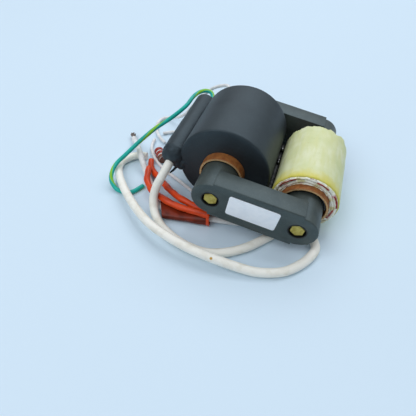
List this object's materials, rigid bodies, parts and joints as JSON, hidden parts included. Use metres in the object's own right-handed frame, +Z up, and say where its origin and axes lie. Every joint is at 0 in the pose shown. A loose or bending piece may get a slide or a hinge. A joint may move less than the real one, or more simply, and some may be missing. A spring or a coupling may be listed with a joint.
{
  "type": "ozone generator transformer",
  "caption": "High-voltage transformer: round-legged ferrite core clamped by screws, with a large potted coil, a small taped coil and loose leads.",
  "frame": {"origin": "on the surface it rests on, under the middle of the box round the core, coils and lead exit, leads left out", "axes": "+Z up, +Y along the core's legs to the back, +X from the large coil to the small one"},
  "size_m": [0.1759, 0.145, 0.0626],
  "materials": {
    "ferrite": "matt dark grey ceramic",
    "spacer_board": "matt",
    "clamp_brass": "satin",
    "bush_plastic": "matt",
    "former_paper": "matt laminated paper",
    "enamelled_wire": "gloss",
    "potting_resin": "matt",
    "red_film": "satin",
    "white_film": "satin, crumpled",
    "yellow_tape": "satin",
    "black_adhesive": "gloss",
    "label_film": "satin",
    "cream_silicone": "satin",
    "green_sheath": "satin with a yellow-green stripe",
    "white_sheath": "satin",
    "orange_sheath": "satin",
    "dark_orange_sleeve": "satin",
    "red_plastic": "satin"
  },
  "bodies": {
    "root": {"core_front": "ferrite", "core_rear": "ferrite", "gap_spacer_left": "spacer_board", "gap_spacer_right": "spacer_board", "clamp_screw_left": "clamp_brass", "clamp_screw_right": "clamp_brass", "clamp_nut_left": "clamp_brass", "clamp_nut_right": "clamp_brass", "head_bush_left": "bush_plastic", "head_bush_right": "bush_plastic", "nut_bush_left": "bush_plastic", "nut_bush_right": "bush_plastic", "secondary_former": "former_paper", "secondary_winding": "enamelled_wire", "secondary_potting": "potting_resin", "primary_former": "former_paper", "primary_winding": "enamelled_wire", "primary_strip": "red_film", "primary_wrap": "white_film", "primary_tape": "yellow_tape", "secondary_beads": "black_adhesive", "primary_beads": "black_adhesive", "rating_label": "label_film", "hv_lead": "cream_silicone", "earth_lead": "green_sheath", "white_lead": "white_sheath", "orange_lead_a": "orange_sheath", "orange_lead_b": "orange_sheath", "thin_lead_a": "white_sheath", "thin_lead_b": "white_sheath", "thin_lead_c": "white_sheath", "orange_sleeve": "dark_orange_sleeve", "sleeve_collar": "dark_orange_sleeve", "red_splice": "red_plastic"}
  },
  "joints": []
}
